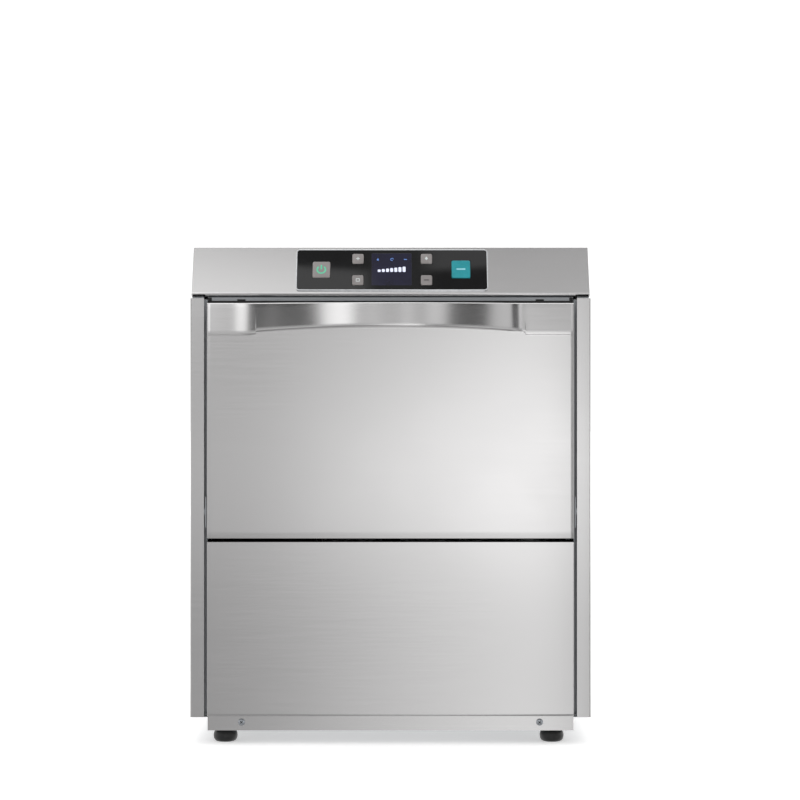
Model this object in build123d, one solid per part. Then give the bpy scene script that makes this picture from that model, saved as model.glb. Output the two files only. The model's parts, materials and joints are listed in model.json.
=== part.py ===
"""Undercounter glass washer with a drop-down door: one node per sub-part, in millimetres.

X runs to the right as one faces the machine, Y from front to back and Z up. The origin is on
the floor, under the middle of the whole machine.
"""

from build123d import *
import math
import os

# Driving dimensions of the whole machine
WIDTH = 575.0
DEPTH = 605.0
HEIGHT = 718.0
HALF_WIDTH = WIDTH / 2
SHEET = 1.2  # stainless sheet
RUNNING = 0.05  # radial clearance of a shaft in its bore

# Planes from front to back
HANDLE_BOW = 23.0  # how far the handle's top edge stands out from the door's face
FACE = -DEPTH / 2 + HANDLE_BOW  # outer face of the door and the service panel
FLANGE = FACE + 2.0  # front flanges of the side panels
LINER_FACE = FACE + 29.5  # chamber side of the door
BACK = DEPTH / 2 - 12.5  # outer face of the rear panel
FITTING_END = DEPTH / 2  # ends of the hose fittings behind the rear panel

# Heights above the floor
FRAME_BOTTOM = 20.0
FRAME_TOP = 40.0
PANEL_BOTTOM = 41.5
PANEL_TOP = 291.3
DOOR_BOTTOM = 296.5
DOOR_TOP = 634.1
SIDE_TOP = 641.0
HEADER_BOTTOM = 643.8

# Door, handle and hinge
DOOR_HALF = 263.1
LINER_HALF = 257.0
LINER_BOTTOM = 303.0
LINER_TOP = 602.0
HANDLE_HALF = 192.0
HANDLE_THICK = 1.5
CREASE_END = 592.8
CREASE_MIDDLE = 599.7
HINGE_Y = FACE + 14.0
HINGE_Z = 334.0
PIN_RADIUS = 5.0
ARM_THICK = 4.0

# Wash chamber
TUB_HALF = 254.0
TUB_FLOOR = 300.0
TUB_CEILING = 638.0
SILL = 354.0
SILL_BACK = -218.0
TUB_FRONT = LINER_FACE + 0.5
TUB_REAR = 262.0
CENTRE_Y = 6.0  # axis of the spray arms
SPINDLE_RADIUS = 12.0
ARM_REACH = 208.0
RISER_Y = 240.0
RISER_RADIUS = 12.5
RISER_TOP = 624.0  # axis of the pipe along the roof

# Machinery under the tub, and the fittings in the rear panel
PUMP_Y = 20.0
PUMP_Z = 112.0
BOILER_X = 170.0
BOILER_Z = 128.0
DRAIN_X = 100.0
DRAIN_Z = 74.0
INLET_X = -200.0
INLET_Z = 90.0
GLAND_X = 200.0
GLAND_Z = 80.0

# Sloping control header
HEADER_HALF = 287.0
HEADER_LIP_Y = -264.5
HEADER_TOP_Y = -228.0
HEADER_SEAM = -150.0
GLASS_THICK = 2.0
BUTTON_PROUD = 1.2
BUTTON_DEPTH = 8.0
BUTTON_GAP = 0.3

# Feet
FOOT_RADIUS = 17.5
STEM_RADIUS = 5.0
FOOT_PLACES = {
    "foot_front_left": (-240.0, -235.0),
    "foot_front_right": (234.0, -235.0),
    "foot_rear_left": (-240.0, 240.0),
    "foot_rear_right": (234.0, 240.0),
}

# Buttons on the control glass: middle across the face, middle height, width, length up the slope
BUTTONS = {
    "power_button": (-100.3, 682.5, 25.5, 26.5),
    "start_button": (101.8, 683.2, 27.0, 29.0),
    "select_button_1": (-47.4, 698.9, 16.4, 16.4),
    "select_button_2": (-47.4, 667.0, 16.4, 16.4),
    "select_button_3": (51.9, 698.9, 16.4, 16.4),
    "select_button_4": (51.9, 667.0, 16.4, 16.4),
}


def block(x0, x1, y0, y1, z0, z1):
    """A box between two limits on each axis."""
    middle = ((x0 + x1) / 2, (y0 + y1) / 2, (z0 + z1) / 2)
    return Pos(*middle) * Box(abs(x1 - x0), abs(y1 - y0), abs(z1 - z0))


def rod(start, end, radius):
    """A round bar between two points."""
    line = Vector(*end) - Vector(*start)
    plane = Plane(origin=start, z_dir=line)
    return extrude(plane * Circle(radius), amount=line.length)


def pipe(points, radius, wall, bend):
    """A round tube along straight runs joined by arcs."""
    path = FilletPolyline(*points, radius=bend)
    plane = Plane(origin=path @ 0, z_dir=path % 0)
    outer = sweep(plane * Circle(radius), path=path)
    inner = sweep(plane * Circle(radius - wall), path=path)
    return outer - inner


def profile_yz(points, x0, x1):
    """A polygon in the YZ plane, extruded from x0 to x1."""
    outline = Polyline(*[(x0, y, z) for y, z in points], close=True)
    return extrude(make_face(outline), amount=x1 - x0, dir=(1, 0, 0))


def arc_height(x, half, low, high):
    """Height at x of the circular arc that rises from low at +-half to high in the middle."""
    rise = high - low
    radius = (half * half + rise * rise) / (2 * rise)
    return high - radius + math.sqrt(radius * radius - x * x)


def group(*solids):
    """Several separate solids as one sub-part."""
    return Compound(list(solids))


# ---- Frame and casing ----


def base_tray():
    """Base tray: a plate, three sills welded under it and a threaded bush over each foot."""
    under = FRAME_TOP - SHEET
    plate = block(-284, 284, -268, 285, under, FRAME_TOP)
    sills = [block(side * 262, side * (262 - SHEET), -249, 285, FRAME_BOTTOM, under)
             for side in (-1, 1)]
    sills.append(block(-262 + SHEET, 262 - SHEET, 285 - SHEET, 285, FRAME_BOTTOM, under))
    bushes = []
    for x, y in FOOT_PLACES.values():
        bore = Pos(x, y, FRAME_TOP) * Cylinder(STEM_RADIUS + RUNNING, 40)
        bushes.append(Pos(x, y, under - 5) * Cylinder(11, 10) - bore)
        plate -= bore
    return group(plate, *sills, *bushes)


def front_plinth():
    """Folded strip under the service panel, with a hole for each fixing screw."""
    front, inside = -270, -270 + SHEET
    strip = block(-263, 263, front, inside, FRAME_BOTTOM, PANEL_BOTTOM - 0.3)
    for x in (-214.3, 214.3):
        strip -= Pos(x, front, 32) * Rot(90, 0, 0) * Cylinder(3.1, 10)
    upper = block(-263, 263, inside, -255, FRAME_TOP + 0.05, PANEL_BOTTOM - 0.3)
    lower = block(-263, 263, inside, -250, FRAME_BOTTOM, FRAME_BOTTOM + SHEET)
    return group(strip, upper, lower)


def plinth_screws():
    """Two pan-head screws with cross slots."""
    screws = []
    for x in (-214.3, 214.3):
        head = Plane(origin=(x, -270, 32), z_dir=(0, -1, 0))
        screw = extrude(head * Circle(5), amount=2.8)
        screw = fillet(screw.edges().sort_by(Axis.Y)[0], 1.6)
        screw -= head * Pos(0, 0, 2.6) * (Box(5.4, 1.1, 2) + Box(1.1, 5.4, 2))
        screw += rod((x, -270, 32), (x, -258, 32), 3.0)
        screws.append(screw)
    return group(*screws)


def front_post(side):
    """Upright behind the side panel's flange, with the bracket that carries the hinge pin."""
    post = block(264.2, 285.5, -258, -258 + SHEET, FRAME_TOP, SIDE_TOP - 1)
    post += block(264.2, 264.2 + SHEET, -258, -230, FRAME_TOP, SIDE_TOP - 1)
    bracket = block(264.2, 266.2, -276, -250, HINGE_Z - 22, HINGE_Z + 22)
    post += bracket
    post -= rod((260, HINGE_Y, HINGE_Z), (270, HINGE_Y, HINGE_Z), PIN_RADIUS + RUNNING)
    post += block(264.2, 285.5, -268.3, -258, FRAME_TOP + 1.5, FRAME_TOP + 1.5 + SHEET)
    return post if side > 0 else mirror(post, Plane.YZ)


def side_panel(side):
    """Outer side skin with a hemmed front flange and a rear flange."""
    inner = HALF_WIDTH - 20
    rear = BACK - SHEET - 0.05
    outline = block(inner, HALF_WIDTH, FLANGE, rear, FRAME_TOP, SIDE_TOP)
    corners = outline.edges().filter_by(Axis.Z).sort_by(Axis.X)[2:]
    outline = fillet(corners, 2.4)
    cut = block(inner - 1, HALF_WIDTH - SHEET, FLANGE + SHEET, rear - SHEET, 0, HEIGHT)
    cut = fillet(cut.edges().filter_by(Axis.Z).sort_by(Axis.X)[2:], 1.2)
    panel = outline - cut
    panel += block(inner, inner + SHEET, FLANGE, FLANGE + 9, FRAME_TOP, SIDE_TOP)
    return panel if side > 0 else mirror(panel, Plane.YZ)


def rear_panel():
    """Flat back cover with a louvred vent and holes for the hose fittings and the cable."""
    panel = block(-284, 284, BACK - SHEET, BACK, FRAME_TOP, SIDE_TOP)
    holes = ((INLET_X, INLET_Z, 14.5), (DRAIN_X, DRAIN_Z, 12.5), (GLAND_X, GLAND_Z, 10.2))
    for x, z, radius in holes:
        panel -= Pos(x, BACK, z) * Rot(90, 0, 0) * Cylinder(radius, 10)
    for row in range(6):
        z = 190 + row * 14
        panel -= block(-60, 60, BACK - 5, BACK + 5, z, z + 3.5)
    return panel


def top_cover():
    """Hood over the chamber: top, two sides and a rear flange."""
    hood = block(-HEADER_HALF, HEADER_HALF, HEADER_SEAM + 0.5, BACK, HEADER_BOTTOM, HEIGHT)
    edges = hood.edges().filter_by(Axis.Y).sort_by(Axis.Z)[2:]
    hood = fillet(edges, 2.4)
    inside = HEADER_HALF - SHEET
    hood -= block(-inside, inside, HEADER_SEAM - 5, BACK - SHEET, 600, HEIGHT - SHEET)
    return hood


def header_slope():
    """Unit vector that runs up the sloping face of the control header."""
    rise = Vector(0, HEADER_TOP_Y - HEADER_LIP_Y, HEIGHT - HEADER_BOTTOM)
    return rise.normalized()


def header_plane(x=0.0, z=HEIGHT - 37.0):
    """Plane on the sloping face, with its Y axis up the slope and its Z axis outwards."""
    slope = header_slope()
    y = HEADER_LIP_Y + (z - HEADER_BOTTOM) * slope.Y / slope.Z
    return Plane(origin=(x, y, z), x_dir=(1, 0, 0), z_dir=(0, -slope.Z, slope.Y))


def slab(plane, width, length, bottom, top, corner=0.0):
    """A rectangular plate on a plane between two distances along its normal."""
    outline = RectangleRounded(width, length, corner) if corner else Rectangle(width, length)
    return extrude(plane * Pos(0, 0, bottom) * outline, amount=top - bottom)


def button_holes():
    """Square cutters, one round each button with its running gap."""
    return [slab(header_plane(x, z), w + 2 * BUTTON_GAP, h + 2 * BUTTON_GAP, -12, 12)
            for x, z, w, h in BUTTONS.values()]


def control_header():
    """Sloping front of the hood, folded from one sheet with closed cheeks."""
    points = [(HEADER_SEAM, HEADER_BOTTOM), (HEADER_LIP_Y, HEADER_BOTTOM),
              (HEADER_TOP_Y, HEIGHT), (HEADER_SEAM, HEIGHT)]
    header = profile_yz(points, -HEADER_HALF, HEADER_HALF)
    along = header.edges().filter_by(Axis.X)
    header = fillet(along.sort_by(Axis.Y)[:1], 4.5)
    header = fillet(header.edges().filter_by(Axis.X).sort_by(Axis.Z)[-2:].sort_by(Axis.Y)[:1], 2.0)
    slope = header_slope()
    inset = SHEET / slope.Z
    low, high = HEADER_BOTTOM + SHEET, HEIGHT - SHEET
    lean = slope.Y / slope.Z
    y_low = HEADER_LIP_Y + SHEET * lean + inset
    y_high = HEADER_TOP_Y - SHEET * lean + inset
    hollow = [(HEADER_SEAM + 5, low), (y_low + 5, low), (y_low + 5 * lean, low + 5),
              (y_high, high), (HEADER_SEAM + 5, high)]
    header -= profile_yz(hollow, -HEADER_HALF + SHEET, HEADER_HALF - SHEET)
    for cutter in button_holes():
        header -= cutter
    header -= slab(header_plane(1.5, 683.4), 60, 54, -12, 12)
    return header


def control_glass():
    """Glossy black control plate on the sloping face, with a cut-out for each button."""
    glass = slab(header_plane(2.0, 682.6), 275, 65.5, 0, GLASS_THICK, corner=4)
    for cutter in button_holes():
        glass -= cutter
    return glass


def control_board():
    """Circuit board behind the header, with the display standing on it."""
    plane = header_plane(2.0, 682.6)
    board = slab(plane, 250, 58, -16, -14.4)
    display = slab(header_plane(1.5, 683.4), 58, 50, -14.4, -0.2)
    return group(board, display)


def button(x, z, width, length):
    """Square key cap with softened edges."""
    plane = header_plane(x, z)
    top = GLASS_THICK + BUTTON_PROUD
    return slab(plane, width, length, top - BUTTON_DEPTH, top, corner=1.5)


def top_rail():
    """Cross rail between the posts: a channel over the door and the chamber's upper lip."""
    channel = block(-263, 263, -262, TUB_FRONT - 0.1, 636.5, 643)
    channel -= block(-262, 262, -262 + SHEET, TUB_FRONT + 1, 636.5 + SHEET, 643 - SHEET)
    lip = block(-TUB_HALF, TUB_HALF, -239.7, -239.7 + SHEET, 616, TUB_CEILING)
    return group(channel, lip)


def service_panel():
    """Removable lower front panel with folded edges and a rounded lower hem."""
    back = FACE + 16
    panel = block(-DOOR_HALF, DOOR_HALF, FACE, back, PANEL_BOTTOM, PANEL_TOP)
    lower = panel.edges().filter_by(Axis.X).sort_by(Axis.Z)[:2].sort_by(Axis.Y)[:1]
    panel = fillet(lower, 4.0)
    upright = panel.edges().filter_by(Axis.Z).sort_by(Axis.Y)[:2]
    panel = fillet(upright, 1.0)
    inside = DOOR_HALF - SHEET
    panel -= block(-inside, inside, FACE + SHEET, back + 1, PANEL_BOTTOM + 4, PANEL_TOP - SHEET)
    return panel


# ---- Wash chamber ----


def tub_wall(side):
    """Side wall of the wash chamber, notched where the door's lower edge swings."""
    points = [(TUB_FRONT, SILL), (SILL_BACK, SILL), (SILL_BACK, TUB_FLOOR),
              (TUB_REAR, TUB_FLOOR), (TUB_REAR, TUB_CEILING), (TUB_FRONT, TUB_CEILING)]
    wall = profile_yz(points, TUB_HALF, TUB_HALF + SHEET)
    return wall if side > 0 else mirror(wall, Plane.YZ)


def tub_rear():
    """Rear wall of the wash chamber, with two holes for the tank heater."""
    outer = TUB_HALF + SHEET
    wall = block(-outer, outer, TUB_REAR, TUB_REAR + SHEET, TUB_FLOOR, TUB_CEILING)
    for x in (-205, -165):
        wall -= Pos(x, TUB_REAR, 311) * Rot(90, 0, 0) * Cylinder(4.3, 10)
    return wall


def tub_ceiling():
    """Roof of the wash chamber."""
    outer = TUB_HALF + SHEET
    return block(-outer, outer, TUB_FRONT, TUB_REAR + SHEET, TUB_CEILING, TUB_CEILING + SHEET)


def tub_floor():
    """Floor of the wash chamber with the sump hung under it."""
    floor = block(-TUB_HALF, TUB_HALF, SILL_BACK + SHEET, TUB_REAR, TUB_FLOOR, TUB_FLOOR + SHEET)
    floor -= block(-105, 105, 62, 218, TUB_FLOOR - 5, TUB_FLOOR + 5)
    floor -= Pos(0, CENTRE_Y, TUB_FLOOR) * Cylinder(14, 10)
    floor -= Pos(0, RISER_Y, TUB_FLOOR) * Cylinder(RISER_RADIUS + 0.1, 10)
    sump = block(-110, 110, 57, 223, 236, TUB_FLOOR)
    sump -= block(-105, 105, 62, 218, 238, TUB_FLOOR + 5)
    sump -= Pos(46, 145, 236) * Cylinder(16.1, 20)
    sump -= Pos(-60, 175, 236) * Cylinder(11.1, 20)
    return group(floor, sump)


def door_sill():
    """Threshold plate and the chamber's low front wall."""
    plate = block(-TUB_HALF, TUB_HALF, TUB_FRONT, SILL_BACK + SHEET, SILL, SILL + SHEET)
    wall = block(-TUB_HALF, TUB_HALF, SILL_BACK, SILL_BACK + SHEET, TUB_FLOOR, SILL)
    return group(plate, wall)


def door_gasket():
    """Rubber seal on both sides and over the top of the chamber's mouth."""
    front = LINER_FACE + 0.3
    strips = [block(side * 244, side * (TUB_HALF - 0.1), front + 1, front + 10, SILL + 2, 615)
              for side in (-1, 1)]
    strips.append(block(-253.9, 253.9, front, front + 10, 617, 629))
    rounded = [fillet(strip.edges().group_by(Axis.Y)[0], 2.5) for strip in strips]
    return group(*rounded)


def rack_rail(side):
    """Angle rail that carries the glass rack along one side."""
    inner, outer = TUB_HALF - 20, TUB_HALF - 0.05
    front, rear = SILL_BACK + 4, 225
    rail = block(inner, outer, front, rear, 358, 359.5)
    rail += block(outer - 1.5, outer, front, rear, 330, 359.5)
    rail += block(inner, inner + 1.5, front, rear, 350, 359.5)
    return rail if side > 0 else mirror(rail, Plane.YZ)


def lower_spindle():
    """Feed tube that the two lower spray arms turn on."""
    spindle = Pos(0, CENTRE_Y, 325.4) * Cylinder(SPINDLE_RADIUS, 48.3)
    spindle += Pos(0, CENTRE_Y, 303.7) * Cylinder(30, 5)
    spindle += Pos(0, CENTRE_Y, 319.5) * Cylinder(18, 3)
    cap = Pos(0, CENTRE_Y, 351.5) * Cylinder(17, 5)
    spindle += fillet(cap.edges().group_by(Axis.Z)[-1], 2)
    spindle -= Pos(0, CENTRE_Y, 323) * Cylinder(9, 50)
    return spindle


def wash_riser():
    """Pipe up the rear wall and along the roof, which ends in the upper arms' spindle."""
    end = CENTRE_Y + 11
    points = [(0, RISER_Y, 262), (0, RISER_Y, RISER_TOP), (0, end, RISER_TOP)]
    riser = pipe(points, RISER_RADIUS, 1.5, 20)
    hub = Pos(0, CENTRE_Y, 605) * Cylinder(SPINDLE_RADIUS, 36)
    hub += Pos(0, CENTRE_Y, 624.15) * Cylinder(18, 26.5)
    hub += Pos(0, CENTRE_Y, 584.5) * Cylinder(17, 5)
    hub -= Pos(0, CENTRE_Y, 599) * Cylinder(9, 20)
    return riser + hub


def spray_arm(z, height, width, reach, nozzles, up, turn):
    """Hollow two-ended spray arm with a hub that runs on its spindle."""
    outer = Box(2 * reach, width, height)
    outer = fillet(outer.edges().filter_by(Axis.Z), width / 2 - 0.1)
    outer = fillet(outer.edges().group_by(Axis.Z)[-1], 2.0)
    outer = fillet(outer.edges().group_by(Axis.Z)[0], 2.0)
    hollow = Box(2 * reach - 4, width - 3, height - 3)
    hollow = fillet(hollow.edges().filter_by(Axis.Z), width / 2 - 2)
    arm = outer - hollow
    side = 1 if up else -1
    for index in range(nozzles):
        step = 45 + index * (reach - 65) / (nozzles - 1)
        for end in (-1, 1):
            place = Pos(end * step, 0, side * height / 2)
            arm -= place * Rot(end * 18, 0, 0) * Cylinder(1.6, 8)
    hub = Cylinder(22, height)
    hub = fillet(hub.edges(), 1.5)
    arm += hub
    arm -= Cylinder(SPINDLE_RADIUS + RUNNING, 40)
    return Pos(0, CENTRE_Y, z) * Rot(0, 0, turn) * arm


def filter_tray():
    """Perforated stainless filter over the sump."""
    tray = block(-104.5, 104.5, 62.5, 217.5, TUB_FLOOR + 2, TUB_FLOOR + 3.2)
    tray += block(-104.5, 104.5, 62.5, 63.7, TUB_FLOOR - 12, TUB_FLOOR + 3.2)
    tray += block(-104.5, 104.5, 216.3, 217.5, TUB_FLOOR - 12, TUB_FLOOR + 3.2)
    holes = [Pos(x, y, 0) * Cylinder(2.2, 30)
             for x in range(-92, 93, 12) for y in range(78, 205, 12)
             if math.dist((x, y), (-60, 175)) > 26]
    tray -= Pos(0, 0, TUB_FLOOR + 2) * Compound(holes)
    tray -= Pos(-60, 175, TUB_FLOOR) * Cylinder(16, 30)
    return tray


def overflow_pipe():
    """Standpipe that sets the tank's water level and plugs its drain."""
    tube = Pos(-60, 175, 277) * Cylinder(13, 78)
    tube += Pos(-60, 175, 314) * Cylinder(15.5, 4)
    tube -= Pos(-60, 175, 280) * Cylinder(10.5, 90)
    return tube


def tank_heater():
    """Hairpin heating element above the tub floor."""
    points = [(-205, 276, 311), (-205, -150, 311), (-165, -150, 311), (-165, 276, 311)]
    path = FilletPolyline(*points, radius=19)
    plane = Plane(origin=path @ 0, z_dir=path % 0)
    return sweep(plane * Circle(4.0), path=path)


# ---- Machinery under the tub ----


def wash_pump():
    """Volute and motor housing of the wash pump."""
    y, z = PUMP_Y, PUMP_Z
    volute = rod((-42, y, z), (6, y, z), 62)
    volute = fillet(volute.edges().sort_by(Axis.X)[-1], 8)
    volute += rod((6, y, z), (22, y, z), 20)
    volute += rod((-18, y, z + 40), (-18, y, z + 78), 15)
    volute -= rod((-36, y, z), (0, y, z), 50)
    volute -= rod((-5, y, z), (25, y, z), 16)
    volute -= rod((-18, y, z + 40), (-18, y, z + 80), 12)
    motor = rod((-200, y, z), (-42, y, z), 54)
    motor = fillet(motor.edges().sort_by(Axis.X)[0], 10)
    for index in range(11):
        x = -178 + index * 12
        motor -= rod((x, y, z), (x + 5, y, z), 60) - rod((x - 1, y, z), (x + 6, y, z), 50)
    motor += block(-170, -80, y - 30, y + 30, FRAME_TOP + 0.1, z - 45)
    motor += block(-150, -90, y - 28, y + 28, z + 45, z + 66)
    pump = volute + motor
    pump -= rod((-120, y, z), (-30, y, z), 7 + RUNNING)
    return pump


def pump_rotor():
    """Impeller and shaft of the wash pump."""
    y, z = PUMP_Y, PUMP_Z
    rotor = rod((-119, y, z), (-20, y, z), 7)
    rotor += rod((-30, y, z), (-27, y, z), 45)
    for index in range(6):
        angle = index * 60
        vane = Pos(0, 0, 28) * Box(12, 2.5, 34)
        rotor += Pos(-21.5, y, z) * Rot(angle, 0, 0) * vane
    return rotor


def pump_hoses():
    """Suction hose from the sump and the feed hose to the lower spindle."""
    y, z = PUMP_Y, PUMP_Z
    suction = pipe([(46, 145, 236), (46, 145, z), (46, y, z), (22.1, y, z)], 16, 2.5, [45, 20])
    feed = pipe([(-18, y, z + 78.2), (-18, y, 230), (0, CENTRE_Y, 258), (0, CENTRE_Y, 301)],
                13.5, 2.5, 16)
    return group(suction, feed)


def boiler():
    """Insulated pressure boiler for the rinse water, on two saddles."""
    x, z = BOILER_X, BOILER_Z
    shell = rod((x, -150, z), (x, 150, z), 75)
    shell = fillet(shell.edges(), 12)
    shell -= rod((x, -146, z), (x, 146, z), 71)
    for y in (-100, 100):
        shell += block(x - 50, x + 50, y - 12, y + 12, FRAME_TOP + 0.1, z - 50)
    shell += rod((x, 60, z + 60), (x, 60, z + 95), 9)
    return shell


def boiler_heater():
    """Flanged immersion heater in the boiler's end, with its terminals."""
    x, z = BOILER_X, BOILER_Z
    flange = rod((x, -156, z), (x, -150, z), 40)
    for index in range(3):
        angle = math.radians(90 + 120 * index)
        place = (x + 20 * math.cos(angle), z + 20 * math.sin(angle))
        flange += rod((place[0], -176, place[1]), (place[0], -156, place[1]), 5)
    for index in range(6):
        angle = math.radians(60 * index)
        place = (x + 33 * math.cos(angle), z + 33 * math.sin(angle))
        flange += rod((place[0], -160, place[1]), (place[0], -156, place[1]), 4)
    return flange


def drain_pump():
    """Drain pump with its spigot through the rear panel."""
    x, z = DRAIN_X, DRAIN_Z
    pump = rod((x, 175, z), (x, 215, z), 27)
    pump += rod((x, 215, z), (x, 222, z), 32)
    pump += rod((x, 222, z), (x, 262, z), 20)
    pump += rod((x, 262, z), (x, BACK, z), 12.2)
    pump += rod((x, BACK, z), (x, FITTING_END, z), 11)
    pump -= rod((x, 250, z), (x, FITTING_END + 1, z), 8.5)
    pump += block(x - 20, x + 20, 190, 215, FRAME_TOP + 0.1, z - 20)
    return pump


def inlet_valve():
    """Solenoid inlet valve with its three-quarter inch thread through the rear panel."""
    x, z = INLET_X, INLET_Z
    valve = rod((x, 240, z), (x, BACK, z), 14.2)
    valve += rod((x, BACK, z), (x, FITTING_END, z), 13.2)
    valve += rod((x, 276, z), (x, 284, z), 19)
    valve += block(x - 16, x + 16, 225, 262, z - 14, z + 14)
    valve += block(x - 14, x + 14, 229, 257, z + 14, z + 50)
    valve -= rod((x, 262, z), (x, FITTING_END + 1, z), 9)
    return valve


def dosing_pumps():
    """Peristaltic dosing pumps for detergent and rinse aid."""
    pumps = []
    for x in (-215, -150):
        pump = block(x - 27, x + 27, -190, -150, 70, 124)
        pump = fillet(pump.edges().filter_by(Axis.Y), 6)
        pump += rod((x, -202, 97), (x, -190, 97), 21)
        pump += block(x - 20, x + 20, -165, -150, FRAME_TOP + 0.1, 70)
        pump += rod((x, -150, 97), (x, -115, 97), 17)
        pumps.append(pump)
    return group(*pumps)


def electrical_box():
    """Terminal and contactor box with its lid."""
    box = block(-245, -120, -140, 20, 185, 285)
    box = fillet(box.edges().filter_by(Axis.X), 4)
    lid = block(-120, -114, -138, 18, 187, 283)
    lid = fillet(lid.edges().filter_by(Axis.X), 4)
    return group(box, lid)


def cable_gland():
    """Cable gland in the rear panel, with a clear bore for the supply cable."""
    x, z = GLAND_X, GLAND_Z
    gland = Pos(x, BACK + 3, z) * Rot(90, 0, 0) * extrude(RegularPolygon(13, 6), amount=3, both=True)
    gland += rod((x, BACK - 14, z), (x, BACK + 3, z), 10)
    gland += rod((x, BACK + 6, z), (x, FITTING_END, z), 10.5)
    nut = Pos(x, BACK - 6, z) * Rot(90, 0, 0) * extrude(RegularPolygon(13, 6), amount=3, both=True)
    gland += nut
    gland -= rod((x, BACK - 20, z), (x, FITTING_END + 5, z), 5.5)
    return gland


# ---- Door ----


def crease_height(x):
    """Height of the pressed crease under the handle."""
    return arc_height(x, HANDLE_HALF, CREASE_END, CREASE_MIDDLE)


def bow_depth(x):
    """How far the handle's top edge stands out from the door's face."""
    return arc_height(x, HANDLE_HALF, 0.0, HANDLE_BOW)


def door_skin():
    """Outer sheet of the door with folded edges and a window for the handle."""
    skin = block(-DOOR_HALF, DOOR_HALF, FACE, FACE + 8, DOOR_BOTTOM, DOOR_TOP)
    skin = fillet(skin.edges().filter_by(Axis.Z).sort_by(Axis.Y)[:2], 1.2)
    inside = DOOR_HALF - SHEET
    skin -= block(-inside, inside, FACE + SHEET, FACE + 9, DOOR_BOTTOM + SHEET, DOOR_TOP - SHEET)
    arc = ThreePointArc((-HANDLE_HALF, CREASE_END), (0, CREASE_MIDDLE), (HANDLE_HALF, CREASE_END))
    above = DOOR_TOP + 10
    sides = Polyline((HANDLE_HALF, CREASE_END), (HANDLE_HALF, above), (-HANDLE_HALF, above),
                     (-HANDLE_HALF, CREASE_END))
    window = make_face(arc + sides)
    front = Plane(origin=(0, FACE - 5, 0), x_dir=(1, 0, 0), z_dir=(0, -1, 0))
    skin -= extrude(front * window, amount=-30)
    return skin


def door_handle():
    """Handle strip bowed forward, with a shelf along its crease that closes it underneath."""
    sections = []
    steps = 8
    half = HANDLE_HALF - 0.05
    for index in range(2 * steps + 1):
        x = half * (index - steps) / steps
        crease, bow = crease_height(x) + RUNNING, bow_depth(x)
        behind = FACE + SHEET + 0.05
        outer, inner = FACE - bow, FACE - bow + HANDLE_THICK
        points = [(FACE, crease), (outer, crease + 0.6), (outer, DOOR_TOP), (inner, DOOR_TOP),
                  (inner, crease + 2.0), (behind + SHEET, crease + 1.2),
                  (behind + SHEET, crease - 8), (behind, crease - 8), (behind, crease)]
        outline = Polyline(*[(x, y, z) for y, z in points], close=True)
        sections.append(make_face(outline))
    return loft(sections, ruled=False)


def door_liner():
    """Inner pan of the door; its top flange is the floor of the finger pocket."""
    front = FACE + SHEET + 0.1
    pan = block(-LINER_HALF, LINER_HALF, front, LINER_FACE, LINER_BOTTOM, LINER_TOP)
    inside = LINER_HALF - SHEET
    pan -= block(-inside, inside, front - 1, LINER_FACE - SHEET, LINER_BOTTOM + SHEET,
                 LINER_TOP - SHEET)
    pan -= block(-LINER_HALF - 1, LINER_HALF + 1, front - 1, front + 4.3, LINER_TOP - 20,
                 LINER_TOP + 1)
    return pan


def door_crown():
    """Top channel of the door, behind the finger pocket."""
    crown = block(-LINER_HALF, LINER_HALF, FACE + 15.5, LINER_FACE, LINER_TOP + 0.1, 632)
    inside = LINER_HALF - SHEET
    crown -= block(-inside, inside, FACE + 15.5 + SHEET, LINER_FACE - SHEET, LINER_TOP - 5,
                   632 - SHEET)
    return crown


def hinge_arm(side):
    """Hinge plate with the pivot bore and the tail that the spring pulls."""
    x0, x1 = LINER_HALF + 0.05, LINER_HALF + ARM_THICK
    plate = block(x0, x1, HINGE_Y - 10, HINGE_Y + 14, HINGE_Z - 14, HINGE_Z + 170)
    plate += rod((x0, HINGE_Y, HINGE_Z), (x1, HINGE_Y, HINGE_Z), 12.5)
    tail = block(x0, x1, HINGE_Y, HINGE_Y + 34, HINGE_Z - 15, HINGE_Z - 1)
    plate += tail
    plate += rod((x0, HINGE_Y + 34, HINGE_Z - 8), (x1, HINGE_Y + 34, HINGE_Z - 8), 7)
    plate -= rod((x0 - 1, HINGE_Y + 34, HINGE_Z - 8), (x1 + 1, HINGE_Y + 34, HINGE_Z - 8), 3)
    plate -= rod((x0 - 1, HINGE_Y, HINGE_Z), (x1 + 1, HINGE_Y, HINGE_Z), PIN_RADIUS + RUNNING)
    return plate if side > 0 else mirror(plate, Plane.YZ)


def hinge_pins():
    """Shouldered pins that the door hangs on, one in each post bracket."""
    pins = []
    for side in (-1, 1):
        start = side * (LINER_HALF + 0.3)
        pin = rod((start, HINGE_Y, HINGE_Z), (side * 266.3, HINGE_Y, HINGE_Z), PIN_RADIUS)
        pin += rod((side * 266.3, HINGE_Y, HINGE_Z), (side * 267.3, HINGE_Y, HINGE_Z), 7)
        pins.append(pin)
    return group(*pins)


def door_springs():
    """Extension springs that balance the door, each as its outer tube and end hooks."""
    springs = []
    x, y = 259.0, HINGE_Y + 34
    top = HINGE_Z - 15.1
    for side in (-1, 1):
        spring = rod((side * x, y, 80), (side * x, y, 290), 4.4)
        spring -= rod((side * x, y, 79), (side * x, y, 291), 2.8)
        spring += rod((side * x, y, 288), (side * x, y, top), 1.0)
        spring += rod((side * x, y, 286), (side * x, y, 290), 4.4)
        spring += rod((side * x, y, 80), (side * x, y, 84), 4.4)
        spring += rod((side * x, y, FRAME_TOP), (side * x, y, 82), 1.0)
        springs.append(spring)
    return group(*springs)


# ---- Feet ----


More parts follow.
